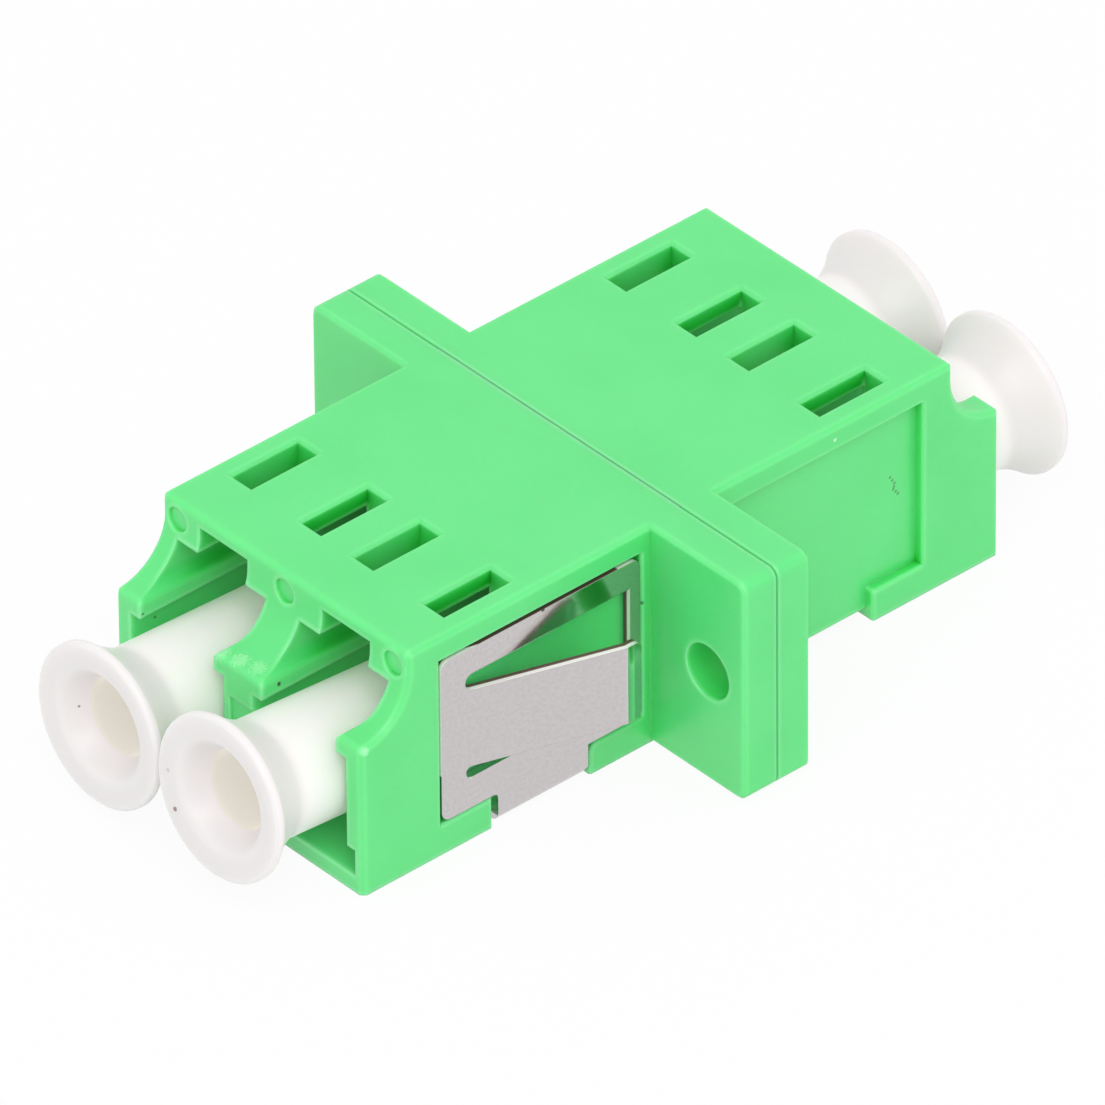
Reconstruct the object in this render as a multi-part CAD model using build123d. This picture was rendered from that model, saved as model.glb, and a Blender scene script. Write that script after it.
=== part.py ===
from build123d import *
import os
from math import acos, degrees, radians, sin, tan

# Duplex fibre optic adapter with a panel flange, two ports at each end.
# Frame, in millimetres: X across the two ports, Y along the fibres, Z up.
# The origin lies under the middle of the flange's parting plane, on the bottom face.
# The end that carries the spring clip is the front, at -Y.

# Port section, from the bottom face upwards
floor_t = 0.70        # floor under the plug
plug_h = 4.75         # floor to the underside of the rails
rail_h = 0.70         # rails that hold the plug down
latch_h = 1.45        # rails to the roof that the latch slides under
keyway_h = 1.00       # channel for the latch lever, above the roof
skin_t = 0.50         # top skin over the channel, from the mouth to the latch windows
inner_skin_t = 0.80   # the thicker skin from there inwards
port_w = 4.56         # width between the port's walls
keyway_w = 2.45
rail_reach = 0.38     # how far each rail stands in from the wall
rail_round = 0.20     # upper inner edge of each rail
rail_hollow_r = 0.60  # hollow that rises from the rail to the wall
axis_h = 2.35         # ferrule axis above the floor

# Ports across the body
port_pitch = 6.25
side_wall_t = 0.90

# Lengths along Y, measured on one half
flange_t = 1.50       # one half's share of the flange
web_t = 1.50          # wall at the bottom of each port
body_reach = 12.40    # parting plane to the face above the ports
tip_r = 2.15          # hollow curve from that face out to the tip of the walls
tooth_l = 2.40        # stop that catches the latch, behind the port's face
window_l = 2.95
window_w = 0.98
keyway_end = 3.00     # parting plane to the inner end of the latch channel
mouth_flare = 0.12    # how far each wall leans out towards the mouth
mouth_flare_l = 1.60
foot_relief = 0.52    # thin lower edge of the walls at the mouth
foot_relief_h = 1.07
foot_relief_l = 1.90
wall_step_d = 0.10    # shallow step in the end of the wall between the ports
wall_step_h = 4.07    # its top above the floor
wall_step_edge = 0.44 # left of the wall's middle

# Flange and its screw holes
ear_reach = 4.75      # flange beyond the body, each side
flange_corner_r = 0.42
screw_offset = 2.88   # body side to screw hole centre
screw_hole_d = 2.15

# Ferrule barrel and split sleeve
sleeve_d = 1.60
sleeve_bore_d = 1.24
sleeve_l = 6.80
sleeve_slit_w = 0.30
sleeve_play = 0.06    # radial play of the sleeve in its barrel
sleeve_end_play = 0.10
barrel_wall_t = 0.59
barrel_lip_t = 0.50   # inward lip that traps the sleeve
ferrule_hole_d = 1.36
ferrule_lead = 0.20   # chamfer that guides the ferrule in

# Recess and lips for the spring clip
recess_front = 1.40   # body face back to the recess
recess_rear = 0.40    # flange to the recess
recess_top = 1.00     # below the top face
lip_h = 1.25
front_lip_l = 2.30
rear_lip_l = 2.40
rear_lip_r = 0.45     # upper corner of the rear lip

# Spring clip, folded from one strip of sheet
sheet_t = 0.32
clip_gap = 0.06       # sheet to the recess floor
clip_sunk = 0.02      # sheet's outer face below the body's side
strap_front_gap = 0.28   # strap to the lip in front of it
strap_rear_gap = 0.04    # strap to the lip behind it
strap_under_gap = 0.03
strap_top_gap = 0.02
plate_gap = 0.05      # plate to the recess ends and the lips
plate_top_gap = 0.12
plate_corner_r = 0.40
fold_r = 0.12         # inner radius where the strap turns under
notch_r = 0.20        # corner between the plate and the strap
slot_front = 1.10     # front margin of the plate
slot_rear = 0.47      # rear margin
slot_top = 1.08       # upper margin
slot_foot = 1.28      # lower margin
upper_cut_h = 0.62    # gap above the tongue
lower_cut_h = 0.50    # gap below the tongue
tongue_angle = 18.0
tongue_lip_l = 0.62
panel_room = 2.03     # tongue's end to the flange, where the panel goes
tongue_bend_r = 0.60
tongue_corner_r = 0.30

# Dust caps
cap_l = 16.20
cap_d = 4.38
flare_d = 6.16
flare_l = 1.90
flare_bend = 0.80     # start of the flare to the bend of its curve
flare_swell = 0.20    # that bend's distance out from the tube
rim_t = 0.30
rim_w = 0.40          # flat ring round the funnel
funnel_depth = 1.05
cap_hole_d = 2.60
cap_web_t = 1.00      # web that closes the cap
cap_socket_play = 0.20
cap_socket_l = 2.60   # depth of the socket that goes over the barrel
cap_lean = {          # degrees that each cap leans up in its port
    "front_left": 2.7,
    "front_right": 4.5,
    "rear_left": 2.0,
    "rear_right": 2.0,
}
cap_seat_gap = {      # each cap's inner end to the web
    "front_left": 0.49,
    "front_right": 0.57,
    "rear_left": 0.45,
    "rear_right": 0.24,
}

# Edges and small marks
brow_r = 0.24         # upper edge of the face above the ports
tip_edge_r = 0.26     # end of the walls
edge_chamfer = 0.17
flange_edge_chamfer = 0.12
seam_chamfer = 0.06
window_chamfer = 0.13
recess_chamfer = 0.07
pin_mark_d = 0.94
pin_mark_depth = 0.12
pin_mark_drop = 0.78  # below the top face
pin_mark_inset = 0.80 # outer marks, in from the body's side

# Cutters start this far inside the space that they widen, and run this far past a face
cut_start = 0.20
cut_past = 1.00
near = 0.01           # places this close count as the same when edges are picked

# Heights and places worked out from the sizes above
port_roof_z = floor_t + plug_h + rail_h + latch_h
keyway_top_z = port_roof_z + keyway_h
body_h = keyway_top_z + skin_t
rail_z = floor_t + plug_h
tip_z = rail_z + rail_h
axis_z = floor_t + axis_h
port_x = port_pitch / 2
body_half_w = port_x + port_w / 2 + side_wall_t
tip_reach = body_reach + tip_r
flange_half_w = body_half_w + ear_reach
screw_x = body_half_w + screw_offset
barrel_bore_r = sleeve_d / 2 + sleeve_play
barrel_r = barrel_bore_r + barrel_wall_t
sleeve_room = sleeve_l / 2 + sleeve_end_play
barrel_reach = sleeve_room + barrel_lip_t
recess_y0 = body_reach - recess_front
recess_y1 = flange_t + recess_rear
strap_slot_y0 = recess_y0 - front_lip_l
strap_slot_y1 = recess_y1 + rear_lip_l
recess_top_z = body_h - recess_top
clip_x = body_half_w - clip_sunk
recess_x = clip_x - sheet_t - clip_gap
groove_top_z = strap_under_gap + sheet_t + strap_top_gap
plate_z0 = lip_h + plate_gap
plate_z1 = recess_top_z - plate_top_gap
slot_y0 = -recess_y0 + plate_gap + slot_front
slot_y1 = -recess_y1 - plate_gap - slot_rear
slot_z0 = plate_z0 + slot_foot
slot_z1 = plate_z1 - slot_top


def block(x0, x1, y0, y1, z0, z1):
    """Box between two corners."""
    size = (abs(x1 - x0), abs(y1 - y0), abs(z1 - z0))
    centre = ((x0 + x1) / 2, (y0 + y1) / 2, (z0 + z1) / 2)
    return Pos(*centre) * Box(*size)


def along_y(sketch, y0, y1):
    """Extrudes a sketch drawn in X and Z from y0 back to y1."""
    return extrude(Plane((0, y0, 0), x_dir=(1, 0, 0), z_dir=(0, -1, 0)) * sketch, y0 - y1)


def panel(y0, y1, z0, z1):
    """Rectangle drawn in Y and Z."""
    return Pos((y0 + y1) / 2, (z0 + z1) / 2) * Rectangle(y1 - y0, z1 - z0)


def body_form():
    """Outer form of the front half without its flange: walls that run out to a tip below a hollow."""
    outline = Polyline((0, body_h), (0, 0), (-tip_reach, 0), (-tip_reach, tip_z))
    hollow = CenterArc((-tip_reach, tip_z + tip_r), tip_r, -90, 90)
    top = Polyline((-body_reach, tip_z + tip_r), (-body_reach, body_h), (0, body_h))
    profile = make_face(outline + hollow + top)
    tip = profile.vertices().group_by(Axis.X)[0].sort_by(Axis.Y)[-1]
    profile = fillet(tip, tip_edge_r)
    brow = profile.vertices().group_by(Axis.Y)[-1].sort_by(Axis.X)[0]
    profile = fillet(brow, brow_r)
    form = extrude(Plane.YZ * profile, body_half_w, both=True)
    sides = [form.faces().sort_by(Axis.X)[i] for i in (0, -1)]
    rims = [e for side in sides for e in side.edges() if e.center().Z > near and e.center().Y < -near]
    return chamfer(rims, edge_chamfer)


def flange_form():
    """Half of the panel flange, with rounded corners and both screw holes."""
    outline = Pos(0, body_h / 2) * RectangleRounded(2 * flange_half_w, body_h, flange_corner_r)
    plate = along_y(outline, 0, -flange_t)
    plate = chamfer(plate.faces().sort_by(Axis.Y)[0].edges(), flange_edge_chamfer)
    plate = chamfer(plate.faces().sort_by(Axis.Y)[-1].edges(), seam_chamfer)
    holes = Sketch() + [Pos(s * screw_x, body_h / 2) * Circle(screw_hole_d / 2) for s in (-1, 1)]
    return plate - along_y(holes, 1, -flange_t - 1)


def port_section():
    """Section of one port about its centre: plug space, hollow-topped rails, roof and latch channel."""
    wall, rail, key = port_w / 2, port_w / 2 - rail_reach, keyway_w / 2
    swing = rail_round + rail_hollow_r
    turn = degrees(acos(1 - rail_reach / swing))
    edge_z = tip_z - rail_round
    hollow_z = edge_z + swing * sin(radians(turn))
    foot = Polyline((0, floor_t), (wall, floor_t), (wall, rail_z), (rail, rail_z), (rail, edge_z))
    edge = CenterArc((rail + rail_round, edge_z), rail_round, 180, -turn)
    hollow = CenterArc((wall - rail_hollow_r, hollow_z), rail_hollow_r, -turn, turn)
    head = Polyline((wall, hollow_z), (wall, port_roof_z), (key, port_roof_z),
                    (key, keyway_top_z), (0, keyway_top_z), (0, floor_t))
    half = make_face(foot + edge + hollow + head)
    return half + mirror(half, Plane.YZ)


def port_cuts(x):
    """Everything that one port takes out of the front half."""
    wall = port_w / 2
    mouth_y = -tip_reach - cut_past
    window_y = -body_reach + tooth_l
    window_mid = wall - window_w / 2
    inner_top_z = body_h - inner_skin_t
    cut = Pos(x, 0, 0) * along_y(port_section(), -web_t, mouth_y)
    cut -= block(x - wall, x + wall, window_y, 0, inner_top_z, body_h)
    cut -= block(x - wall, x + wall, -keyway_end, 0, port_roof_z, body_h)
    cut += block(x - window_mid, x + window_mid, window_y, window_y + window_l,
                 port_roof_z - cut_start, inner_top_z)
    for s in (-1, 1):
        outer = x + s * wall
        inner = outer - s * cut_start
        flare_y, foot_y = -tip_reach + mouth_flare_l, -tip_reach + foot_relief_l
        window_z0, window_z1 = port_roof_z - cut_start, body_h + cut_past
        cut += block(outer - s * window_w, outer, window_y, window_y + window_l, window_z0, window_z1)
        flare = Polyline((inner, flare_y), (outer, flare_y), (outer + s * mouth_flare, -tip_reach),
                         (outer + s * mouth_flare, mouth_y), (inner, mouth_y), close=True)
        cut += extrude(Pos(0, 0, floor_t) * make_face(flare), plug_h, dir=(0, 0, 1))
        cut += block(inner, outer + s * foot_relief, mouth_y, foot_y, floor_t, floor_t + foot_relief_h)
    return cut


def barrel(x):
    """Barrel that holds half of a split sleeve and guides the ferrule into it."""
    return along_y(Pos(x, axis_z) * Circle(barrel_r), 0, -barrel_reach)


def barrel_bore(x):
    """Sleeve room, ferrule hole and the lead-in cone at the barrel's end."""
    room = along_y(Pos(x, axis_z) * Circle(barrel_bore_r), cut_past, -sleeve_room)
    hole = along_y(Pos(x, axis_z) * Circle(ferrule_hole_d / 2), 0, -barrel_reach - cut_past)
    cone = Pos(x, -barrel_reach + ferrule_lead / 2, axis_z) * Rot(90, 0, 0) * Cone(
        ferrule_hole_d / 2, ferrule_hole_d / 2 + ferrule_lead, ferrule_lead)
    return room + hole + cone


def clip_recess():
    """Side recesses and groove below that the clip lies in. Two lips stay under each recess."""
    y0, y1 = -strap_slot_y0, -strap_slot_y1
    outline = panel(-recess_y0, -recess_y1, lip_h, recess_top_z) + panel(y0, y1, 0, lip_h)
    outline += panel(y1, y1 + rear_lip_r, lip_h - rear_lip_r, lip_h)
    outline -= Pos(y1 + rear_lip_r, lip_h - rear_lip_r) * Circle(rear_lip_r)
    side_plane = Plane((recess_x, 0, 0), x_dir=(0, 1, 0), z_dir=(1, 0, 0))
    side = extrude(side_plane * outline, body_half_w - recess_x + cut_past)
    side += block(recess_x, body_half_w + cut_past, y0, y1, -cut_past, 0)
    under = block(-body_half_w - cut_past, body_half_w + cut_past, y0, y1, -cut_past, groove_top_z)
    return side + mirror(side, Plane.YZ) + under


def pin_marks():
    """Shallow round marks that the mould's ejector pins leave above and beside the ports."""
    side_x = body_half_w - pin_mark_inset
    height = body_h - pin_mark_drop
    marks = Sketch() + [Pos(x, height) * Circle(pin_mark_d / 2) for x in (-side_x, 0, side_x)]
    return along_y(marks, -body_reach + pin_mark_depth, -body_reach - cut_past)


def wall_step():
    """Shallow step that the wall between the ports has in its end, open to the port at +X."""
    return block(-wall_step_edge, port_x, -tip_reach - cut_past, -tip_reach + wall_step_d,
                 floor_t, floor_t + wall_step_h)


def window_rims(form):
    """Upper edges of the latch windows."""
    return [e for e in form.edges() if abs(e.center().Z - body_h) < near
            and abs(e.center().X) < port_x + port_w / 2 + near
            and tooth_l - near < body_reach + e.center().Y < tooth_l + window_l + near]


def recess_rims(form):
    """Outer edges of the side recesses and of the slots below them."""
    return [e for e in form.edges() if abs(abs(e.center().X) - body_half_w) < near
            and near < e.center().Z < recess_top_z + near
            and -recess_y0 - near < e.center().Y < -recess_y1 + near]


def housing():
    """The front half of the moulded housing."""
    form = body_form() + flange_form()
    for x in (-port_x, port_x):
        form -= port_cuts(x)
    form = chamfer(window_rims(form), window_chamfer)
    for x in (-port_x, port_x):
        form += barrel(x)
    for x in (-port_x, port_x):
        form -= barrel_bore(x)
    form -= clip_recess() + wall_step() + pin_marks()
    return chamfer(recess_rims(form), recess_chamfer)


def split_sleeve(x):
    """Ceramic split sleeve that lines up both ferrules, with its slit on top."""
    slit = Pos(0, sleeve_d / 2) * Rectangle(sleeve_slit_w, sleeve_d)
    ring = Circle(sleeve_d / 2) - Circle(sleeve_bore_d / 2) - slit
    return along_y(Pos(x, axis_z) * ring, sleeve_l / 2, -sleeve_l / 2)


def tongue_cuts():
    """The two cuts, in Y and Z, that free the tongue above and below. Their inner ends are round."""
    cuts = Sketch()
    for z0, z1 in ((slot_z1 - upper_cut_h, slot_z1), (slot_z0, slot_z0 + lower_cut_h)):
        end_r = (z1 - z0) / 2
        cuts += Pos(slot_y0 + end_r, z0 + end_r) * Circle(end_r)
        cuts += panel(slot_y0 + end_r, slot_y1, z0, z1)
    return cuts


def cut_ends():
    """What the round ends of the two cuts leave standing in the outer corners of the opening."""
    upper_r, lower_r = upper_cut_h / 2, lower_cut_h / 2
    corners = panel(slot_y0, slot_y0 + upper_r, slot_z1 - upper_r, slot_z1)
    corners += panel(slot_y0, slot_y0 + lower_r, slot_z0, slot_z0 + lower_r)
    return corners - tongue_cuts()


def tongue():
    """Spring tongue: bent out from its root, then bent back into a short lip at its free end."""
    lean = radians(tongue_angle)
    mid_x = clip_x - sheet_t / 2
    root_y = slot_y0 + tongue_bend_r * tan(lean / 2)
    tip_y = -flange_t - panel_room - tongue_lip_l
    out_x = mid_x + (tip_y - root_y) * tan(lean)
    path = FilletPolyline((mid_x, slot_y0 - slot_front / 2), (mid_x, root_y), (out_x, tip_y),
                          (out_x, tip_y + tongue_lip_l), radius=tongue_bend_r)
    section = Plane(path @ 0, x_dir=(1, 0, 0), z_dir=path % 0) * Rectangle(sheet_t, slot_z1 - slot_z0)
    return Pos(0, 0, (slot_z0 + slot_z1) / 2) * sweep(section, path)


def clip_side():
    """One side plate of the clip with its tongue, at +X."""
    y0, y1 = -recess_y0 + plate_gap, -recess_y1 - plate_gap
    plate = Pos((y0 + y1) / 2, (plate_z0 + plate_z1) / 2) * RectangleRounded(
        y1 - y0, plate_z1 - plate_z0, plate_corner_r)
    opening = panel(slot_y0, slot_y1, slot_z0, slot_z1) - cut_ends()
    sheet_plane = Plane((clip_x - sheet_t, 0, 0), x_dir=(0, 1, 0), z_dir=(1, 0, 0))
    bent = tongue() - extrude(sheet_plane * (tongue_cuts() + cut_ends()), body_reach)
    bent = fillet(bent.edges().filter_by(Axis.X).group_by(Axis.Y)[-1], tongue_corner_r)
    return extrude(sheet_plane * (plate - opening), sheet_t) + bent


def panel_clip():
    """Spring clip: a plate with a tongue on each side, joined by a strap under the body."""
    strap_y0, strap_y1 = -strap_slot_y0 + strap_front_gap, -strap_slot_y1 - strap_rear_gap
    leg_top = plate_z0 + slot_foot / 2
    leg_h = leg_top - strap_under_gap
    fold = RectangleRounded(2 * clip_x, 2 * leg_h, fold_r + sheet_t)
    fold -= RectangleRounded(2 * (clip_x - sheet_t), 2 * (leg_h - sheet_t), fold_r)
    fold &= Pos(0, -leg_h / 2) * Rectangle(2 * clip_x, leg_h)
    clip = along_y(Pos(0, leg_top) * fold, strap_y1, strap_y0)
    clip += clip_side() + mirror(clip_side(), Plane.YZ)
    notches = [e for e in clip.edges().filter_by(Axis.X)
               if abs(e.center().Y - strap_y0) < near and abs(e.center().Z - plate_z0) < near]
    return fillet(notches, notch_r)


def dust_cap():
    """Trumpet-shaped dust cap on the Y axis with its inner end at the origin and its flare towards -Y."""
    tube_r, flare_r = cap_d / 2, flare_d / 2
    socket_r = barrel_r + cap_socket_play
    rim_r = flare_r - rim_w
    hole_r = cap_hole_d / 2
    wall = Polyline((socket_r, 0), (tube_r, 0), (tube_r, -cap_l + flare_l))
    trumpet = Bezier((tube_r, -cap_l + flare_l), (tube_r + flare_swell, -cap_l + flare_l - flare_bend),
                     (flare_r, -cap_l + rim_t))
    front = Polyline((flare_r, -cap_l + rim_t), (flare_r, -cap_l), (rim_r, -cap_l))
    funnel = Line((rim_r, -cap_l), (hole_r, -cap_l + funnel_depth))
    bore = Polyline((hole_r, -cap_l + funnel_depth), (hole_r, -cap_socket_l - cap_web_t),
                    (0, -cap_socket_l - cap_web_t), (0, -cap_socket_l), (socket_r, -cap_socket_l),
                    (socket_r, 0))
    return revolve(make_face(wall + trumpet + front + funnel + bore), Axis.Y)


def placed_cap(place):
    """A dust cap in its port, leaning up about the middle of its socket."""
    x = -port_x if "left" in place else port_x
    hinge = Pos(0, -cap_socket_l / 2, 0)
    back = Pos(0, cap_socket_l / 2, 0)
    cap = hinge * Rot(-cap_lean[place], 0, 0) * back * dust_cap()
    cap = Pos(x, -web_t - cap_seat_gap[place], axis_z) * cap
    return cap if "front" in place else mirror(cap, Plane.XZ)


front_half = housing()
nodes = {
    "front_housing": front_half,
    "rear_housing": mirror(front_half, Plane.XZ),
    "panel_clip": panel_clip(),
    "split_sleeve_left": split_sleeve(-port_x),
    "split_sleeve_right": split_sleeve(port_x),
}
for place in cap_lean:
    nodes["dust_cap_" + place] = placed_cap(place)

os.makedirs("parts", exist_ok=True)
for name, solid in nodes.items():
    export_step(solid, f"parts/{name}.step")
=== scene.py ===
"""Looks of a duplex fibre optic adapter.

The moulded halves, the spring clip and the ceramic sleeves keep their CAD shapes and get their
finishes here. The dust caps are built here, and a plain studio stands round them all.
"""

import logging
import math
from dataclasses import dataclass
from enum import Enum
from typing import Any

import bmesh
import bpy
from mathutils import Matrix, Vector


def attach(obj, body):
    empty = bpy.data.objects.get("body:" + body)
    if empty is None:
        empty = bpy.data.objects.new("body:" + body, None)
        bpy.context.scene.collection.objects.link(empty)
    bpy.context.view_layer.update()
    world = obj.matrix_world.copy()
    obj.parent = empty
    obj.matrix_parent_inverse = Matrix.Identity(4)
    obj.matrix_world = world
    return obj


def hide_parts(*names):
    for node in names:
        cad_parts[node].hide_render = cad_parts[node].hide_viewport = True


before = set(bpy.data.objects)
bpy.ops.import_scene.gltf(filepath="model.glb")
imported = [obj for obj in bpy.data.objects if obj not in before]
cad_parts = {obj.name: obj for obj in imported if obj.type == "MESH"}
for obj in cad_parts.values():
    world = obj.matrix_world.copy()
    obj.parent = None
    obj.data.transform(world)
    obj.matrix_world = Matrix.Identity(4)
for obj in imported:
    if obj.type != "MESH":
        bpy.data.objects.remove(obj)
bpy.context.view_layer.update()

LOG = logging.getLogger("adapter")
MM = 0.001

Colour = tuple[float, float, float]
Place = tuple[float, float, float]
Range = tuple[float, float]
Settings = dict[str, Any]

WHITE: Colour = (1.0, 1.0, 1.0)

# How many finer layers a noise has, and the value that it varies about.
SMOOTH, PLAIN, FINE = 1.0, 2.0, 3.0
NOISE_MEAN = 0.5


class End(Enum):
    """Which end of the adapter a cap closes."""

    FRONT = -1
    REAR = 1


class Side(Enum):
    """Which of the two ports a cap closes."""

    LEFT = -1
    RIGHT = 1


class Value:
    """A number or vector that a shader node gives. Python's operators on it add Math nodes."""

    def __init__(self, shader: "Shader", socket: bpy.types.NodeSocket) -> None:
        """Keeps the socket.

        Args:
            shader: The shader that new nodes go into.
            socket: The output socket that holds the value.
        """
        self.shader = shader
        self.socket = socket

    def _math(self, operation: str, *others: Any) -> "Value":
        """Adds one Math node that starts from this value.

        Args:
            operation: The Math node's operation.
            *others: The further inputs, as numbers or values.

        Returns:
            The node's result.
        """
        return self.shader.add("ShaderNodeMath", {"operation": operation}, self, *others)

    def __add__(self, other: Any) -> "Value":
        """Gives the sum."""
        return self._math("ADD", other)

    __radd__ = __add__

    def __sub__(self, other: Any) -> "Value":
        """Gives the difference."""
        return self._math("SUBTRACT", other)

    def __rsub__(self, other: Any) -> "Value":
        """Gives a number less this value."""
        return self.shader.add("ShaderNodeMath", {"operation": "SUBTRACT"}, other, self)

    def __mul__(self, other: Any) -> "Value":
        """Gives the product."""
        return self._math("MULTIPLY", other)

    __rmul__ = __mul__

    def __abs__(self) -> "Value":
        """Gives the size without its sign."""
        return self._math("ABSOLUTE")

    def at_least(self, other: Any) -> "Value":
        """Gives the larger of the two."""
        return self._math("MAXIMUM", other)

    def at_most(self, other: Any) -> "Value":
        """Gives the smaller of the two."""
        return self._math("MINIMUM", other)

    def ramp(self, low: float, high: float) -> "Value":
        """Rises smoothly from 0 to 1 from low to high, or falls if high is the smaller.

        Args:
            low: Where the result is 0.
            high: Where the result is 1.

        Returns:
            The result, from 0 to 1.
        """
        falls = high < low
        near, far = (high, low) if falls else (low, high)
        settings = {"interpolation_type": "SMOOTHSTEP"}
        rising = self.shader.add("ShaderNodeMapRange", settings, self, near, far, 0.0, 1.0)
        return 1 - rising if falls else rising

    def part(self, name: str) -> "Value":
        """Gives one part, X, Y or Z, of a vector."""
        return self.shader.add("ShaderNodeSeparateXYZ", {}, self, output=name)


class Shader:
    """The node tree of a material or world, filled from the textures to the output."""

    shade_samples = 8
    bevel_samples = 6
    edge_gain = 2.0

    def __init__(self, owner: bpy.types.Material | bpy.types.World) -> None:
        """Empties the owner's node tree.

        Args:
            owner: A new material or world.
        """
        self.owner = owner
        self.owner.use_nodes = True
        self.tree = self.owner.node_tree
        self.tree.nodes.clear()

    def node(self, kind: str, settings: Settings, *inputs: Any, **named: Any) -> bpy.types.Node:
        """Adds any node.

        Args:
            kind: The node's type.
            settings: Its settings, which are set first.
            *inputs: Values or links for its enabled sockets, in order. None leaves one as it is.
            **named: Values or links by socket name, with _ for a space.

        Returns:
            The node.
        """
        node = self.tree.nodes.new(kind)
        for key, value in settings.items():
            setattr(node, key, value)
        sockets = [s for s in node.inputs if s.enabled]
        pairs = list(zip(sockets, inputs))
        pairs += [(node.inputs[key.replace("_", " ")], value) for key, value in named.items()]
        for socket, value in pairs:
            if isinstance(value, Value):
                self.tree.links.new(value.socket, socket)
            elif value is not None:
                socket.default_value = (*value, 1.0) if socket.type == "RGBA" else value
        return node

    def add(self, kind: str, settings: Settings, *inputs: Any, output: str = "",
            **named: Any) -> Value:
        """Adds any node and gives one of its outputs.

        Args:
            kind: The node's type.
            settings: Its settings.
            *inputs: Values or links for its enabled sockets, in order.
            output: The output's name, or nothing for the first enabled one.
            **named: Values or links by socket name.

        Returns:
            The output as a value.
        """
        node = self.node(kind, settings, *inputs, **named)
        socket = node.outputs[output] if output else next(s for s in node.outputs if s.enabled)
        return Value(self, socket)

    def vector(self, operation: str, *inputs: Any, output: str = "Value") -> Value:
        """Adds a Vector Math node.

        Args:
            operation: Its operation.
            *inputs: Its vectors, as numbers or values.
            output: Value where it gives a number, or Vector.

        Returns:
            The node's result.
        """
        return self.add("ShaderNodeVectorMath", {"operation": operation}, *inputs, output=output)

    def place(self) -> Value:
        """Gives the point on the piece, in metres, which stays with the piece as it moves."""
        return self.add("ShaderNodeTexCoord", {}, output="Object")

    def facing(self) -> Value:
        """Gives the surface's own direction on the piece."""
        return self.add("ShaderNodeTexCoord", {}, output="Normal")

    def openness(self, reach: float, inside: bool) -> Value:
        """Gives how open the piece's own surface is.

        Args:
            reach: How far off the piece's other walls still count, in metres.
            inside: True to look into the piece, and False to look out of it.

        Returns:
            1 where nothing is near, and 0 where the piece closes the point in.
        """
        settings = {"inside": inside, "samples": self.shade_samples, "only_local": True}
        return self.add("ShaderNodeAmbientOcclusion", settings, Distance=reach, output="AO")

    def edges(self, reach: float) -> Value:
        """Gives 0 on open faces and in corners, and up to 1 at an outward edge.

        Args:
            reach: How far from the edge it starts, in metres.

        Returns:
            How near the surface is to an edge.
        """
        return ((1 - self.openness(reach, inside=True)) * self.edge_gain).at_most(1.0)

    def hollows(self, reach: float) -> Value:
        """Gives 0 on open faces, and 1 where the piece's own walls close the surface in.

        Args:
            reach: How far off the walls still count, in metres.

        Returns:
            How deep in a hollow the surface lies.
        """
        return 1 - self.openness(reach, inside=False)

    def off_axis(self, point: Place, axis: Place) -> Value:
        """Gives how far the surface is from a line.

        Args:
            point: A point on the line, in metres.
            axis: The line's direction, of length 1.

        Returns:
            The distance, in metres.
        """
        away = self.vector("SUBTRACT", self.place(), point, output="Vector")
        across = self.vector("CROSS_PRODUCT", away, axis, output="Vector")
        return self.vector("LENGTH", across)

    def along(self, point: Place, axis: Place) -> Value:
        """Gives how far along a line the surface is.

        Args:
            point: The line's start, in metres.
            axis: The line's direction, of length 1.

        Returns:
            The distance from the start, in metres.
        """
        away = self.vector("SUBTRACT", self.place(), point, output="Vector")
        return self.vector("DOT_PRODUCT", away, axis)

    def facing_to(self, axis: Place) -> Value:
        """Gives 1 where the surface faces straight along a direction, and 0 across it."""
        return self.vector("DOT_PRODUCT", self.facing(), axis)

    def distance(self, point: Place) -> Value:
        """Gives how far the surface is from a point, in metres."""
        return self.vector("DISTANCE", self.place(), point)

    def noise(self, size: float, detail: float = PLAIN, stretch: Place = (1, 1, 1)) -> Value:
        """Gives soft noise from 0 to 1.

        Args:
            size: The size of its features, in metres.
            detail: How many finer layers it has.
            stretch: How many times longer the features are along each axis.

        Returns:
            The noise.
        """
        scale = tuple(1.0 / s for s in stretch)
        spot = self.add("ShaderNodeMapping", {}, self.place(), Scale=scale)
        return self.add("ShaderNodeTexNoise", {}, spot, output="Fac", Scale=1.0 / size,
                        Detail=detail)

    def mix(self, factor: Any, first: Any, second: Any) -> Value:
        """Blends two colours.

        Args:
            factor: 0 gives the first and 1 the second.
            first: A colour or a link.
            second: A colour or a link.

        Returns:
            The blended colour.
        """
        return self.add("ShaderNodeMix", {"data_type": "RGBA"}, factor, first, second)

    def rounded(self, radius: float) -> Value:
        """Gives the surface's direction with its sharp edges rounded by a radius, in metres."""
        return self.add("ShaderNodeBevel", {"samples": self.bevel_samples}, radius)

    def bump(self, height: Value, strength: float, distance: float, normal: Any = None) -> Value:
        """Turns heights into a surface direction.

        Args:
            height: The relief.
            strength: How much of it shows.
            distance: How many metres a height of 1 is.
            normal: The direction that it starts from, or nothing for the surface's own.

        Returns:
            The direction.
        """
        return self.add("ShaderNodeBump", {}, Height=height, Strength=strength, Distance=distance,
                        Normal=normal)

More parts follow.
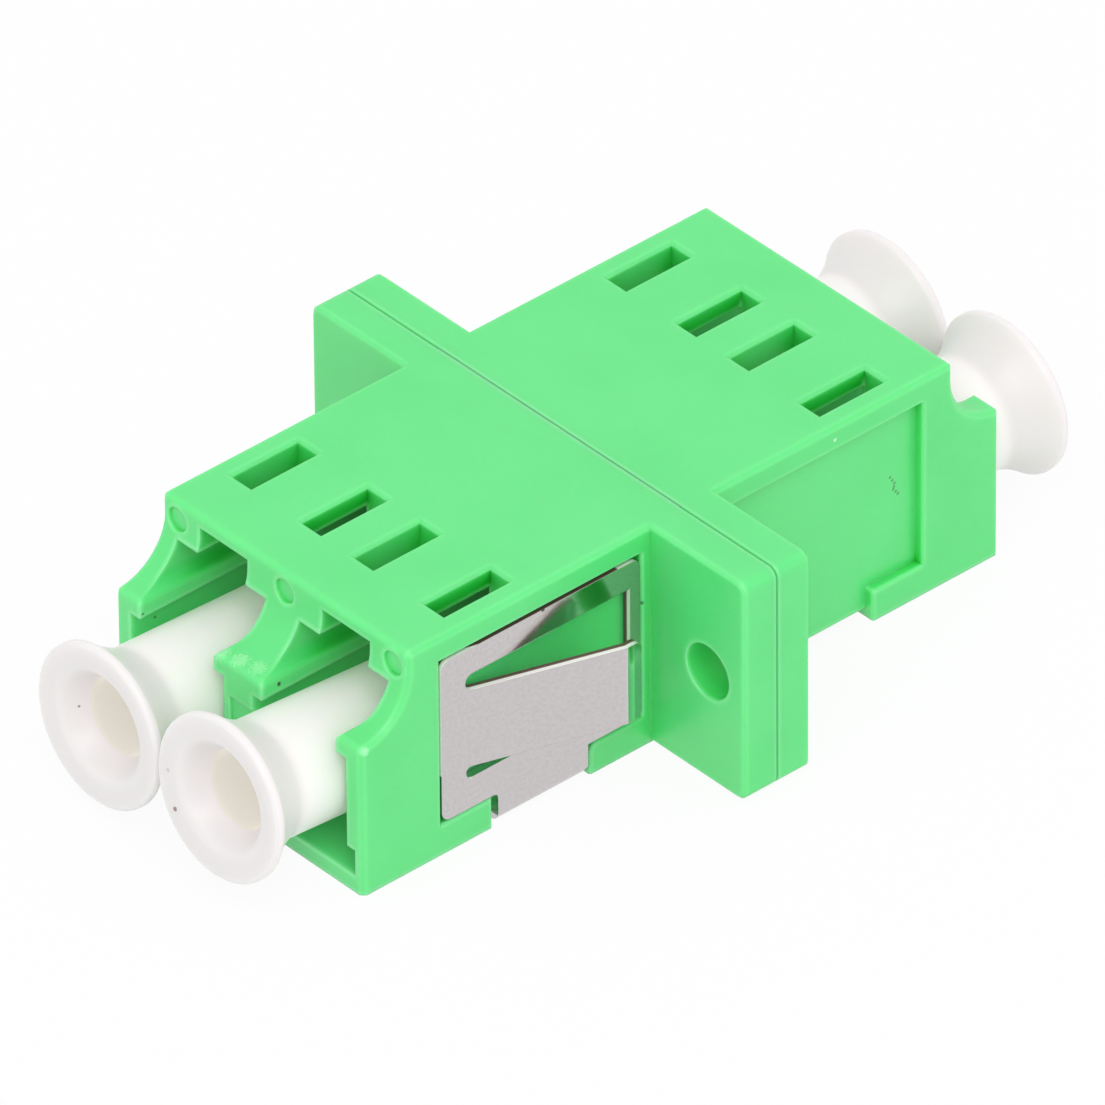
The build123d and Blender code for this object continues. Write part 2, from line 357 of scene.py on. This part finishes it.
    def surface(self, constants: Settings, **links: Any) -> bpy.types.Material:
        """Ends the tree in a Principled surface.

        Args:
            constants: Values that are the same all over, by socket name.
            **links: Values that vary, by socket name with _ for a space.

        Returns:
            The finished material.
        """
        body = self.node("ShaderNodeBsdfPrincipled", {}, **links)
        for name, value in constants.items():
            socket = body.inputs[name]
            socket.default_value = (*value, 1.0) if socket.type == "RGBA" else value
        end = self.tree.nodes.new("ShaderNodeOutputMaterial")
        self.tree.links.new(body.outputs[0], end.inputs["Surface"])
        return self.owner


@dataclass(frozen=True)
class Speck:
    """A small mark on a surface.

    Args:
        place: Its middle, in millimetres.
        radius: How far it reaches, in millimetres.
        colour: Its colour.
        strength: How much of the surface it covers.
        ragged: How broken its outline is. Above 1 it falls apart into scratches.
        core: The share of its radius that it covers in full.
        crumb: The size of what breaks its outline, as a share of its radius.
        least_ragged: The raggedness below which that size no longer grows.
    """

    place: Place
    radius: float
    colour: Colour
    strength: float = 1.0
    ragged: float = 0.8
    core: float = 0.5
    crumb: float = 0.4
    least_ragged: float = 0.8

    def over(self, shader: Shader, colour: Value) -> Value:
        """Lays the mark over a colour.

        Args:
            shader: The shader of the marked surface.
            colour: The colour below.

        Returns:
            The colour with the mark.
        """
        radius = self.radius * MM
        middle = tuple(part * MM for part in self.place)
        crumbs = shader.noise(radius * self.crumb / max(self.ragged, self.least_ragged))
        away = shader.distance(middle) + (crumbs - NOISE_MEAN) * (radius * self.ragged)
        covered = away.ramp(radius, radius * self.core) * self.strength
        return shader.mix(covered, colour, self.colour)


@dataclass(frozen=True)
class MouldedPlastic:
    """Bright green moulded plastic with a soft sheen."""

    name: str = "moulded_green"
    specks: tuple[Speck, ...] = ()

    colour: Colour = (0.105, 0.78, 0.225)
    cloud_colour: Colour = (0.085, 0.74, 0.195)
    cloud_size: float = 3.5 * MM
    cloud_range: Range = (0.35, 0.75)
    cloud_share: float = 0.6
    flow_size: float = 0.6 * MM
    flow_stretch: Place = (1, 6, 1)
    flow_share: float = 0.15

    # Painted shade: darker, more saturated greens where the piece's own walls close the surface in.
    hollow_shade_colour: Colour = (0.006, 0.62, 0.035)
    hollow_range: Range = (0.35, 0.80)
    deepest_shade_colour: Colour = (0.001, 0.30, 0.008)
    deepest_range: Range = (0.64, 0.92)
    deepest_share: float = 0.85
    hollow_reach: float = 5.0 * MM

    # Painted highlight: a lighter green along outward edges.
    edge_highlight_colour: Colour = (0.30, 0.97, 0.42)
    edge_highlight_share: float = 0.75
    edge_radius: float = 0.11 * MM
    edge_highlight_reach: float = 0.22 * MM
    seam_colour: Colour = (0.06, 0.66, 0.15)
    seam_half: float = 0.06 * MM

    roughness: float = 0.34
    grain_size: float = 0.09 * MM
    grain_gloss: float = 0.12
    cloud_gloss: float = 0.05
    wave_size: float = 1.4 * MM
    grain_height: float = 0.25
    relief_strength: float = 0.20
    relief_height: float = 0.012 * MM

    sheen: float = 0.9
    glow: Place = (0.10, 1.0, 0.28)
    glow_depth: float = 0.6 * MM
    glow_weight: float = 0.50

    def tint(self, s: Shader, clouds: Value) -> Value:
        """Lays the clouding, painted shade in hollows, painted edge highlights, weld line and marks
        over each other.

        Args:
            s: The material's shader.
            clouds: The wide noise.

        Returns:
            The colour.
        """
        flow = s.noise(self.flow_size, PLAIN, self.flow_stretch)
        clouding = clouds.ramp(*self.cloud_range) * self.cloud_share + flow * self.flow_share
        colour = s.mix(clouding, self.colour, self.cloud_colour)
        # Painted shade in hollows, darkest in the deepest ones.
        closed_in = s.hollows(self.hollow_reach)
        colour = s.mix(closed_in.ramp(*self.hollow_range), colour, self.hollow_shade_colour)
        deepest = closed_in.ramp(*self.deepest_range) * self.deepest_share
        colour = s.mix(deepest, colour, self.deepest_shade_colour)
        # Painted highlight along outward edges.
        colour = s.mix(s.edges(self.edge_highlight_reach) * self.edge_highlight_share, colour, self.edge_highlight_colour)
        seam = abs(s.place().part("Y")).ramp(self.seam_half, self.seam_half / 2)
        colour = s.mix(seam, colour, self.seam_colour)
        for speck in self.specks:
            colour = speck.over(s, colour)
        return colour

    def make(self) -> bpy.types.Material:
        """Builds the material: faint clouding, fine mould texture and softened edges.

        Returns:
            The material.
        """
        s = Shader(bpy.data.materials.new(self.name))
        clouds = s.noise(self.cloud_size, FINE)
        grain = s.noise(self.grain_size, FINE)
        height = grain * self.grain_height + s.noise(self.wave_size, SMOOTH)
        rough = self.roughness + (grain - NOISE_MEAN) * self.grain_gloss + clouds * self.cloud_gloss
        soft = s.rounded(self.edge_radius)
        constants = {"Specular IOR Level": self.sheen, "Subsurface Weight": self.glow_weight,
                     "Subsurface Radius": self.glow, "Subsurface Scale": self.glow_depth}
        return s.surface(
            constants,
            Base_Color=self.tint(s, clouds),
            Roughness=rough,
            Normal=s.bump(height, self.relief_strength, self.relief_height, soft))


@dataclass(frozen=True)
class SpringSteel:
    """Satin spring steel with a rolled grain, slight waves, and cut edges with a painted glint and
    painted shade.
    """

    name: str = "spring_steel"
    specks: tuple[Speck, ...] = ()

    colour: Colour = (0.60, 0.565, 0.57)
    dull_colour: Colour = (0.47, 0.445, 0.45)
    mottle_size: float = 0.14 * MM
    mottle_range: Range = (0.3, 0.7)
    mottle_share: float = 0.3
    mottle_gloss: float = 0.05
    grain_size: float = 0.06 * MM
    grain_stretch: Place = (1, 3, 1)
    grain_share: float = 0.5
    grain_gloss: float = 0.12
    grain_height: float = 0.0006 * MM
    wave_size: float = 2.6 * MM
    wave_stretch: Place = (1, 1, 2)
    wave_height: float = 0.03 * MM
    roughness: float = 0.13
    edge_radius: float = 0.04 * MM

    # Painted glint and painted shade on cut faces: near-diffuse colours, bright on the outer part
    # and dark on the inner part.
    cut_glint_colour: Colour = (1.0, 0.94, 0.93)
    cut_shade_colour: Colour = (0.13, 0.075, 0.06)
    cut_gloss: float = 0.22
    cut_dullness: float = 0.9
    cut_facing: Range = (0.6, 0.3)
    cut_low: float = 3.2 * MM
    # Width of the painted glint on a cut face's outer part; the painted shade lies inward of it.
    burr: float = 0.16 * MM
    burr_blur: float = 0.03 * MM
    step: float = 0.1 * MM

    plate_x: float = 6.285 * MM
    plate_cut_y: float = -3.0 * MM
    root_y: float = -9.755 * MM
    tongue_l: float = 5.605 * MM
    tongue_slope: float = 0.325

    # Painted highlight: a brighter metal colour on the lip's turn.
    lip_highlight_colour: Colour = (0.98, 0.93, 1.0)
    lip_x: float = 7.3 * MM
    lip_y: float = -4.25 * MM
    lip_run: float = 0.45 * MM
    lip_turn: float = 24.0

    def glint_from(self, sheet_x: Value | float, out_x: Value) -> Value:
        """Gives 1 on the outer part of a cut face, which gets the painted glint, and 0 on its inner
        part, which gets the painted shade.

        Args:
            sheet_x: How far out the sheet's outer face is.
            out_x: How far out the surface is.

        Returns:
            The bright part.
        """
        return (sheet_x - out_x).ramp(self.burr + self.burr_blur, self.burr - self.burr_blur)

    def make(self) -> bpy.types.Material:
        """Builds the material: mottled grain, a painted glint and painted shade on the cut faces,
        and the lip's inward turn with a painted highlight.

        Returns:
            The material.
        """
        s = Shader(bpy.data.materials.new(self.name))
        out_x, y = abs(s.place().part("X")), s.place().part("Y")
        grain = s.noise(self.grain_size, FINE, self.grain_stretch)
        mottle = s.noise(self.mottle_size, FINE)
        rolled = (grain - NOISE_MEAN) * self.grain_share
        dull = mottle.ramp(*self.mottle_range) * self.mottle_share + rolled
        sheet = s.mix(dull, self.colour, self.dull_colour)

        along_tongue = (y - self.root_y).at_least(0.0).at_most(self.tongue_l)
        on_tongue = self.glint_from(along_tongue * self.tongue_slope + self.plate_x, out_x)
        past_slot = y.ramp(self.plate_cut_y, self.plate_cut_y + self.step)
        bright = on_tongue.at_least(self.glint_from(self.plate_x, out_x) * past_slot)
        above = s.place().part("Z").ramp(self.cut_low, self.cut_low + self.step)
        cut = abs(s.facing().part("X")).ramp(*self.cut_facing) * above

        past_lip = (y - self.lip_y).at_least(0.0)
        bent = past_lip.ramp(0.0, self.lip_run)
        on_lip = out_x.ramp(self.lip_x - self.step, self.lip_x)
        inward = past_lip * bent - bent * bent * (self.lip_run / 2)
        drop = inward * on_lip * math.tan(math.radians(self.lip_turn))

        # Painted highlight on the lip's turn.
        colour = s.mix(on_lip * bent, sheet, self.lip_highlight_colour)
        # Painted glint and painted shade on the cut faces.
        colour = s.mix(cut, colour, s.mix(bright, self.cut_shade_colour, self.cut_glint_colour))
        for speck in self.specks:
            colour = speck.over(s, colour)
        rough = self.roughness + (grain - NOISE_MEAN) * self.grain_gloss
        rough = rough + (mottle - NOISE_MEAN) * self.mottle_gloss + cut * self.cut_gloss
        waves = s.noise(self.wave_size, SMOOTH, self.wave_stretch)
        height = grain * self.grain_height + waves * self.wave_height - drop
        return s.surface(
            {},
            Base_Color=colour,
            Metallic=1 - cut * self.cut_dullness,
            Roughness=rough,
            Normal=s.bump(height, strength=1.0, distance=1.0, normal=s.rounded(self.edge_radius)))


@dataclass(frozen=True)
class MilkyPlastic:
    """Soft white plastic that lets light through. Its emission is a painted glow, faint all over
    and stronger in the bore.

    Args:
        name: The material's name.
        bore_r: The radius of the cap's bore, in metres.
        middle: A point on the cap's axis, at its inner end.
        axis: The direction of the cap's mouth, of length 1.
        specks: Marks on it.
    """

    name: str
    bore_r: float
    middle: Place
    axis: Place
    specks: tuple[Speck, ...]

    colour: Colour = (0.925, 0.865, 0.88)
    cloud_colour: Colour = (0.905, 0.85, 0.86)
    cloud_size: float = 1.8 * MM
    cloud_range: Range = (0.3, 0.8)
    cloud_share: float = 0.5
    cloud_gloss: float = 0.12

    # Painted shade: darker colours on the flare's outside, on faces that face out of the mouth, and
    # in the bore.
    flare_shade_colour: Colour = (0.79, 0.735, 0.755)
    flare_range: Range = (13.9 * MM, 14.6 * MM)
    mouth_shade_colour: Colour = (0.72, 0.70, 0.70)
    mouth_range: Range = (0.1, 0.6)
    bore_shade_colour: Colour = (0.40, 0.375, 0.345)
    bore_slack: Range = (0.06 * MM, 0.01 * MM)

    roughness: float = 0.38
    grain_size: float = 0.15 * MM
    grain_height: float = 0.1
    relief_strength: float = 0.25
    relief_height: float = 0.03 * MM

    # Painted glow: emission colours, faint all over and stronger in the bore.
    painted_glow: Colour = (0.08, 0.08, 0.08)
    painted_glow_in_bore: Colour = (0.40, 0.385, 0.345)
    glow: Place = (1.0, 0.9, 0.75)
    glow_depth: float = 0.7 * MM
    glow_weight: float = 0.7

    def make(self) -> bpy.types.Material:
        """Builds the material: faint clouding, painted shade on the flare, the mouth and the bore,
        and a painted glow.

        Returns:
            The material.
        """
        s = Shader(bpy.data.materials.new(self.name))
        clouds = s.noise(self.cloud_size, FINE)
        flare = s.along(self.middle, self.axis).ramp(*self.flare_range)
        mouth = s.facing_to(self.axis).ramp(*self.mouth_range)
        outer, inner = (self.bore_r + slack for slack in self.bore_slack)
        bore = s.off_axis(self.middle, self.axis).ramp(outer, inner)

        clouding = clouds.ramp(*self.cloud_range) * self.cloud_share
        colour = s.mix(clouding, self.colour, self.cloud_colour)
        # Painted shade on the flare, the mouth and the bore.
        colour = s.mix(flare, colour, self.flare_shade_colour)
        colour = s.mix(mouth, colour, self.mouth_shade_colour)
        colour = s.mix(bore, colour, self.bore_shade_colour)
        for speck in self.specks:
            colour = speck.over(s, colour)
        height = clouds + s.noise(self.grain_size) * self.grain_height
        # The emission is a painted glow, faint all over and stronger in the bore.
        constants = {"Subsurface Weight": self.glow_weight, "Subsurface Radius": self.glow,
                     "Subsurface Scale": self.glow_depth, "Emission Strength": 1.0}
        return s.surface(
            constants,
            Base_Color=colour,
            Roughness=self.roughness + (clouds - NOISE_MEAN) * self.cloud_gloss,
            Emission_Color=s.mix(bore, self.painted_glow, self.painted_glow_in_bore),
            Normal=s.bump(height, self.relief_strength, self.relief_height))


@dataclass(frozen=True)
class GroundCeramic:
    """Ground white ceramic of the split sleeves."""

    name: str = "ground_ceramic"
    colour: Colour = (0.86, 0.86, 0.83)
    mark_colour: Colour = (0.80, 0.80, 0.76)
    mark_size: float = 0.08 * MM
    mark_stretch: Place = (4, 1, 4)
    mark_share: float = 0.4
    mark_strength: float = 0.2
    mark_height: float = 0.004 * MM
    mark_gloss: float = 0.12
    roughness: float = 0.22

    def make(self) -> bpy.types.Material:
        """Builds the material: fine grinding marks round the sleeve.

        Returns:
            The material.
        """
        s = Shader(bpy.data.materials.new(self.name))
        marks = s.noise(self.mark_size, PLAIN, self.mark_stretch)
        return s.surface(
            {},
            Base_Color=s.mix(marks * self.mark_share, self.colour, self.mark_colour),
            Roughness=self.roughness + marks * self.mark_gloss,
            Normal=s.bump(marks, self.mark_strength, self.mark_height))


DARK_DIRT: Colour = (0.012, 0.06, 0.02)
PALE_DUST: Colour = (0.75, 0.95, 0.72)
# Pale green for painted highlights on the tips' tops.
PAINTED_TIP_HIGHLIGHT: Colour = (0.42, 0.93, 0.50)

SCRATCH_X = 5.905
SCRATCH = ((9.84, 5.32), (9.94, 5.15), (10.04, 4.98), (10.02, 4.86), (9.99, 4.75), (10.10, 4.61),
           (10.20, 4.48))

HOUSING_MARKS = (
    Speck((1.225, -13.764, 5.78), 0.11, DARK_DIRT),
    Speck((6.276, -1.859, 6.02), 0.10, DARK_DIRT, 0.7),
    Speck((-5.025, -14.411, 5.612), 0.07, DARK_DIRT, 0.8),
    Speck((-5.448, -13.522, 4.811), 0.07, DARK_DIRT, 0.8),
    Speck((6.305, 6.936, 8.546), 0.09, PALE_DUST, 0.9),
    # Ragged pale patches on the tips' tops: painted highlights.
    Speck((-1.039, -14.33, 6.161), 0.36, PAINTED_TIP_HIGHLIGHT, 0.55, 2.6),
    Speck((-0.268, -14.197, 6.183), 0.36, PAINTED_TIP_HIGHLIGHT, 0.55, 2.6),
    Speck((0.504, -14.066, 6.206), 0.36, PAINTED_TIP_HIGHLIGHT, 0.45, 2.6),
    Speck((6.274, -14.347, 6.011), 0.20, PAINTED_TIP_HIGHLIGHT, 0.7, 1.6),
    *(Speck((SCRATCH_X, y, z), 0.075, DARK_DIRT, 0.6) for y, z in SCRATCH),
)

CLIP_MARKS = (
    Speck((6.285, -6.337, 7.958), 0.09, (0.10, 0.09, 0.07)),
    Speck((6.258, -9.662, 2.588), 0.07, (0.95, 0.93, 0.88)),
)

FRONT_LEFT_CAP_MARKS = (
    Speck((-4.805, -17.516, 3.406), 0.06, (0.10, 0.07, 0.05)),
)

FRONT_RIGHT_CAP_MARKS = (
    Speck((1.031, -18.305, 2.698), 0.11, (0.30, 0.17, 0.12)),
    Speck((0.579, -18.196, 4.034), 0.09, (0.50, 0.36, 0.30), 0.6),
)


def dress(node: str, material: bpy.types.Material) -> None:
    """Gives one CAD node a finish.

    Args:
        node: The node's name.
        material: Its new material.
    """
    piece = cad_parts[node]
    piece.data.materials.clear()
    piece.data.materials.append(material)
    LOG.info("%s wears %s", node, material.name)


@dataclass
class Housing:
    """The two welded halves of the moulded housing."""

    halves: tuple[str, ...] = ("front_housing", "rear_housing")
    finish: MouldedPlastic = MouldedPlastic(specks=HOUSING_MARKS)

    def build(self) -> None:
        """Dresses both halves."""
        plastic = self.finish.make()
        for half in self.halves:
            dress(half, plastic)


@dataclass
class SpringClip:
    """The folded spring clip on the front half."""

    node: str = "panel_clip"
    finish: SpringSteel = SpringSteel(specks=CLIP_MARKS)

    def build(self) -> None:
        """Dresses the clip."""
        dress(self.node, self.finish.make())


@dataclass
class SplitSleeves:
    """The two ceramic sleeves inside the housing."""

    nodes: tuple[str, ...] = ("split_sleeve_left", "split_sleeve_right")
    finish: GroundCeramic = GroundCeramic()

    def build(self) -> None:
        """Dresses both sleeves."""
        ceramic = self.finish.make()
        for node in self.nodes:
            dress(node, ceramic)


@dataclass
class DustCap:
    """A trumpet-shaped dust cap, with a socket at its inner end and a funnel at its mouth.

    Args:
        end: The adapter's end that it closes.
        side: The port that it closes.
        lean: How far it leans up in its port, in degrees.
        gap: From its inner end to the wall at the bottom of the port, in metres.
        turn: How far it is turned about its own axis, in degrees.
        specks: Marks on it.
    """

    end: End
    side: Side
    lean: float
    gap: float
    turn: float
    specks: tuple[Speck, ...] = ()

    length: float = 16.20 * MM
    tube_r: float = 2.19 * MM
    tube_ring: float = 4.0 * MM
    edge_break: float = 0.08 * MM
    nose_break: float = 0.04 * MM
    socket_r: float = 1.65 * MM
    socket_l: float = 2.60 * MM
    web_t: float = 1.00 * MM
    hole_r: float = 1.44 * MM
    bore_rings: tuple[float, ...] = (0.985, 0.7, 0.35)

    flare_r: float = 3.08 * MM
    flare_l: float = 1.90 * MM
    flare_bend: float = 0.80 * MM
    flare_swell: float = 0.20 * MM
    flare_steps: int = 18
    rim_t: float = 0.30 * MM
    rim_round: float = 0.15 * MM
    rim_steps: int = 5
    bell_r: float = 2.05 * MM
    bell_sink: float = 0.10 * MM
    bell_round: float = 0.24 * MM
    bell_depth: float = 1.06 * MM
    bell_steps: int = 8

    port_x: float = 3.125 * MM
    port_floor_y: float = 1.50 * MM
    axis_z: float = 3.05 * MM
    segments: int = 128

    @property
    def name(self) -> str:
        """The end and side in words."""
        return f"{self.end.name}_{self.side.name}".lower()

    @staticmethod
    def curve(start: Vector, bend: Vector, end: Vector, steps: int) -> list[tuple[float, float]]:
        """Draws a curve that leaves its start towards the bend and comes to its end from there.

        Args:
            start: First point.
            bend: The point that pulls the curve.
            end: Last point.
            steps: How many pieces it has.

        Returns:
            The points.
        """
        shares = [i / steps for i in range(steps + 1)]
        return [tuple(start * (1 - t)**2 + bend * (2 * t * (1 - t)) + end * t**2) for t in shares]

    def flare(self) -> list[tuple[float, float]]:
        """Draws the outside from the tube's end over the trumpet and the rim's outer rounding.

        Returns:
            The points.
        """
        flare_y = self.length - self.flare_l
        swell = Vector((self.tube_r + self.flare_swell, flare_y + self.flare_bend))
        rim = Vector((self.flare_r, self.length - self.rim_t))
        trumpet = self.curve(Vector((self.tube_r, flare_y)), swell, rim, self.flare_steps)
        quarters = [math.pi / 2 * i / self.rim_steps for i in range(self.rim_steps + 1)]
        return trumpet + [(self.flare_r - self.rim_round * (1 - math.cos(a)),
                           self.length - self.rim_round * (1 - math.sin(a))) for a in quarters]

    def mouth(self, crest: Vector) -> list[tuple[float, float]]:
        """Draws the flat ring's inner end, its rounded bend and the steep funnel.

        Args:
            crest: Where the ring starts, at the rim.

        Returns:
            The points.
        """
        bend = Vector((self.bell_r, self.length - self.bell_sink))
        foot = Vector((self.hole_r, self.length - self.bell_depth))
        ring_end = bend + (crest - bend).normalized() * self.bell_round
        funnel_start = bend + (foot - bend).normalized() * self.bell_round
        return self.curve(ring_end, bend, funnel_start, self.bell_steps) + [tuple(foot)]

    def profile(self) -> list[tuple[float, float]]:
        """Draws half of the cap's section, from the web's middle out and round to it again.

        Returns:
            Radius and distance from the inner end of each point.
        """
        cut, nose = self.edge_break, self.nose_break
        socket = [(0.0, self.socket_l), (self.socket_r - cut, self.socket_l),
                  (self.socket_r, self.socket_l - cut), (self.socket_r, nose),
                  (self.socket_r + nose, 0.0), (self.tube_r - cut, 0.0),
                  (self.tube_r, cut), (self.tube_r, self.tube_ring)]
        flare = self.flare()
        web = self.socket_l + self.web_t
        bore_l = self.length - self.bell_depth - web
        bore = [(self.hole_r, web + bore_l * share) for share in self.bore_rings]
        bore += [(self.hole_r, web + cut), (self.hole_r - cut, web), (0.0, web)]
        return socket + flare + self.mouth(Vector(flare[-1])) + bore

    def placing(self) -> Matrix:
        """Gives the matrix from the cap's own frame, with its axis along -Y, to its port.

        Returns:
            The matrix.
        """
        hinge = Matrix.Translation((0, -self.socket_l / 2, 0))
        tilt = Matrix.Rotation(-math.radians(self.lean), 4, "X")
        spin = Matrix.Rotation(math.radians(self.turn), 4, "Y")
        x = self.port_x * self.side.value
        seat = Matrix.Translation((x, -self.port_floor_y - self.gap, self.axis_z))
        placed = seat @ hinge @ tilt @ hinge.inverted() @ spin
        flip = Matrix.Diagonal((1, self.end.value * -1, 1, 1))
        return flip @ placed

    def mesh(self) -> bpy.types.Mesh:
        """Turns the section into a closed mesh.

        Returns:
            The mesh, at its place in the port.
        """
        made = bmesh.new()
        angles = [2 * math.pi * k / self.segments for k in range(self.segments)]
        rings = []
        for radius, along in self.profile():
            if radius == 0.0:
                rings.append([made.verts.new((0, -along, 0))])
            else:
                rings.append([made.verts.new((radius * math.cos(a), -along, radius * math.sin(a)))
                              for a in angles])
        for low, high in zip(rings, rings[1:]):
            for k in range(self.segments):
                corners = [low[k % len(low)], low[(k + 1) % len(low)],
                           high[(k + 1) % len(high)], high[k % len(high)]]
                made.faces.new(list(dict.fromkeys(corners)))
        made.transform(self.placing())
        bmesh.ops.recalc_face_normals(made, faces=made.faces)
        for face in made.faces:
            face.smooth = True
        mesh = bpy.data.meshes.new("cap_" + self.name)
        made.to_mesh(mesh)
        made.free()
        return mesh

    def build(self) -> None:
        """Builds the cap, gives it its finish and seats it on its body."""
        piece = bpy.data.objects.new("trumpet_cap_" + self.name, self.mesh())
        bpy.context.scene.collection.objects.link(piece)
        placing = self.placing()
        axis = (placing.to_3x3() @ Vector((0, -1, 0))).normalized()
        finish = MilkyPlastic("milky_" + self.name, self.hole_r, tuple(placing.translation),
                              tuple(axis), self.specks)
        piece.data.materials.append(finish.make())
        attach(piece, "cap_" + self.name)
        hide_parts("dust_cap_" + self.name)
        LOG.info("%s has %d faces", piece.name, len(piece.data.polygons))


@dataclass
class Studio:
    """Camera, lamp, floor and the white surroundings."""

    azimuth: float = 48.54
    elevation: float = 36.37
    roll: float = -0.47
    distance: float = 830.3 * MM
    target: Place = (0.144 * MM, -0.463 * MM, 4.107 * MM)
    lens: float = 794.3
    sensor: float = 36.0
    clip_start: float = 0.01
    clip_end: float = 10.0
    floor_half: float = 0.6
    floor_drop: float = 0.02 * MM
    floor_colour: Colour = (0.88, 0.88, 0.88)
    floor_white: float = 0.93
    surround: float = 0.83
    fill_distance: float = 0.60
    fill_width: float = 0.35
    fill_lift: float = 14.0
    fill_power: float = 1.2

    def towards_camera(self, lift: float = 0.0) -> Vector:
        """Gives the direction from the object to the camera.

        Args:
            lift: How much higher than the camera, in degrees.

        Returns:
            The direction, of length 1.
        """
        a, e = math.radians(self.azimuth), math.radians(self.elevation + lift)
        return Vector((math.cos(e) * math.sin(a), -math.cos(e) * math.cos(a), math.sin(e)))

    def camera(self) -> None:
        """Places the camera where the photograph was taken from."""
        a, r = math.radians(self.azimuth), math.radians(self.roll)
        back = self.towards_camera()
        flat_right = Vector((math.cos(a), math.sin(a), 0))
        flat_up = back.cross(flat_right)
        right = flat_right * math.cos(r) + flat_up * math.sin(r)
        up = back.cross(right)
        data = bpy.data.cameras.new("camera")
        data.lens, data.sensor_width, data.sensor_fit = self.lens, self.sensor, "HORIZONTAL"
        data.clip_start, data.clip_end = self.clip_start, self.clip_end
        camera = bpy.data.objects.new("camera", data)
        turn = Matrix((right, up, back)).transposed().to_4x4()
        place = Vector(self.target) + back * self.distance
        camera.matrix_world = Matrix.Translation(place) @ turn
        bpy.context.scene.collection.objects.link(camera)
        bpy.context.scene.camera = camera

    @staticmethod
    def seen_directly(shader: Shader) -> Value:
        """Gives 1 for what the camera sees itself, in a mirror or through glass.

        Args:
            shader: The shader that asks.

        Returns:
            1 or 0.
        """
        path = shader.node("ShaderNodeLightPath", {})
        names = ("Is Camera Ray", "Is Glossy Ray", "Is Transmission Ray")
        camera, mirror, glass = (Value(shader, path.outputs[name]) for name in names)
        return camera.at_least(mirror).at_least(glass)

    def floor(self) -> None:
        """Lays a pale floor that shows white and keeps a faint shadow."""
        h = self.floor_half
        mesh = bpy.data.meshes.new("floor")
        mesh.from_pydata([(-h, -h, 0), (h, -h, 0), (h, h, 0), (-h, h, 0)], [], [(0, 1, 2, 3)])
        piece = bpy.data.objects.new("floor", mesh)
        piece.location.z = -self.floor_drop
        bpy.context.scene.collection.objects.link(piece)
        s = Shader(bpy.data.materials.new("pale_floor"))
        pale = s.add("ShaderNodeBsdfDiffuse", {}, Color=self.floor_colour)
        white = s.add("ShaderNodeEmission", {}, Color=WHITE, Strength=1.0)
        shown = self.seen_directly(s) * self.floor_white
        both = s.add("ShaderNodeMixShader", {}, shown, pale, white)
        s.node("ShaderNodeOutputMaterial", {}, Surface=both)
        mesh.materials.append(s.owner)

    def surroundings(self) -> None:
        """Makes the surroundings white to the eye, and a plain soft light on the object."""
        s = Shader(bpy.data.worlds.new("white_room"))
        bpy.context.scene.world = s.owner
        light = s.add("ShaderNodeBackground", {}, Color=WHITE, Strength=self.surround)
        white = s.add("ShaderNodeBackground", {}, Color=WHITE, Strength=1.0)
        both = s.add("ShaderNodeMixShader", {}, self.seen_directly(s), light, white)
        s.node("ShaderNodeOutputWorld", {}, Surface=both)

    def lamp(self, name: str, place: Place, width: float, power: float) -> None:
        """Hangs a soft box that points at the object.

        Args:
            name: The lamp's name.
            place: Where it hangs, in metres.
            width: Its width, in metres.
            power: Its power, in watts.
        """
        data = bpy.data.lights.new(name, "AREA")
        data.shape, data.size, data.energy = "SQUARE", width, power
        lamp = bpy.data.objects.new(name, data)
        lamp.location = place
        lamp.rotation_mode = "QUATERNION"
        aim = Vector(self.target) - Vector(place)
        lamp.rotation_quaternion = aim.to_track_quat("-Z", "Y")
        bpy.context.scene.collection.objects.link(lamp)

    def build(self) -> None:
        """Sets up the whole studio."""
        bpy.context.scene.view_settings.view_transform = "Standard"
        self.camera()
        self.surroundings()
        self.floor()
        fill = self.towards_camera(self.fill_lift) * self.fill_distance
        self.lamp("front_fill", tuple(fill), self.fill_width, self.fill_power)
        LOG.info("studio is ready")


def main() -> None:
    """Sets up the studio, then dresses and builds every piece."""
    logging.basicConfig(level=logging.INFO, format="%(name)s: %(message)s")
    Studio().build()
    Housing().build()
    SpringClip().build()
    SplitSleeves().build()
    for cap in (
        DustCap(End.FRONT, Side.LEFT, lean=2.7, gap=0.49 * MM, turn=0.0,
                specks=FRONT_LEFT_CAP_MARKS),
        DustCap(End.FRONT, Side.RIGHT, lean=4.5, gap=0.57 * MM, turn=70.0,
                specks=FRONT_RIGHT_CAP_MARKS),
        DustCap(End.REAR, Side.LEFT, lean=2.0, gap=0.45 * MM, turn=140.0),
        DustCap(End.REAR, Side.RIGHT, lean=2.0, gap=0.24 * MM, turn=210.0),
    ):
        cap.build()


if __name__ == "__main__":
    main()
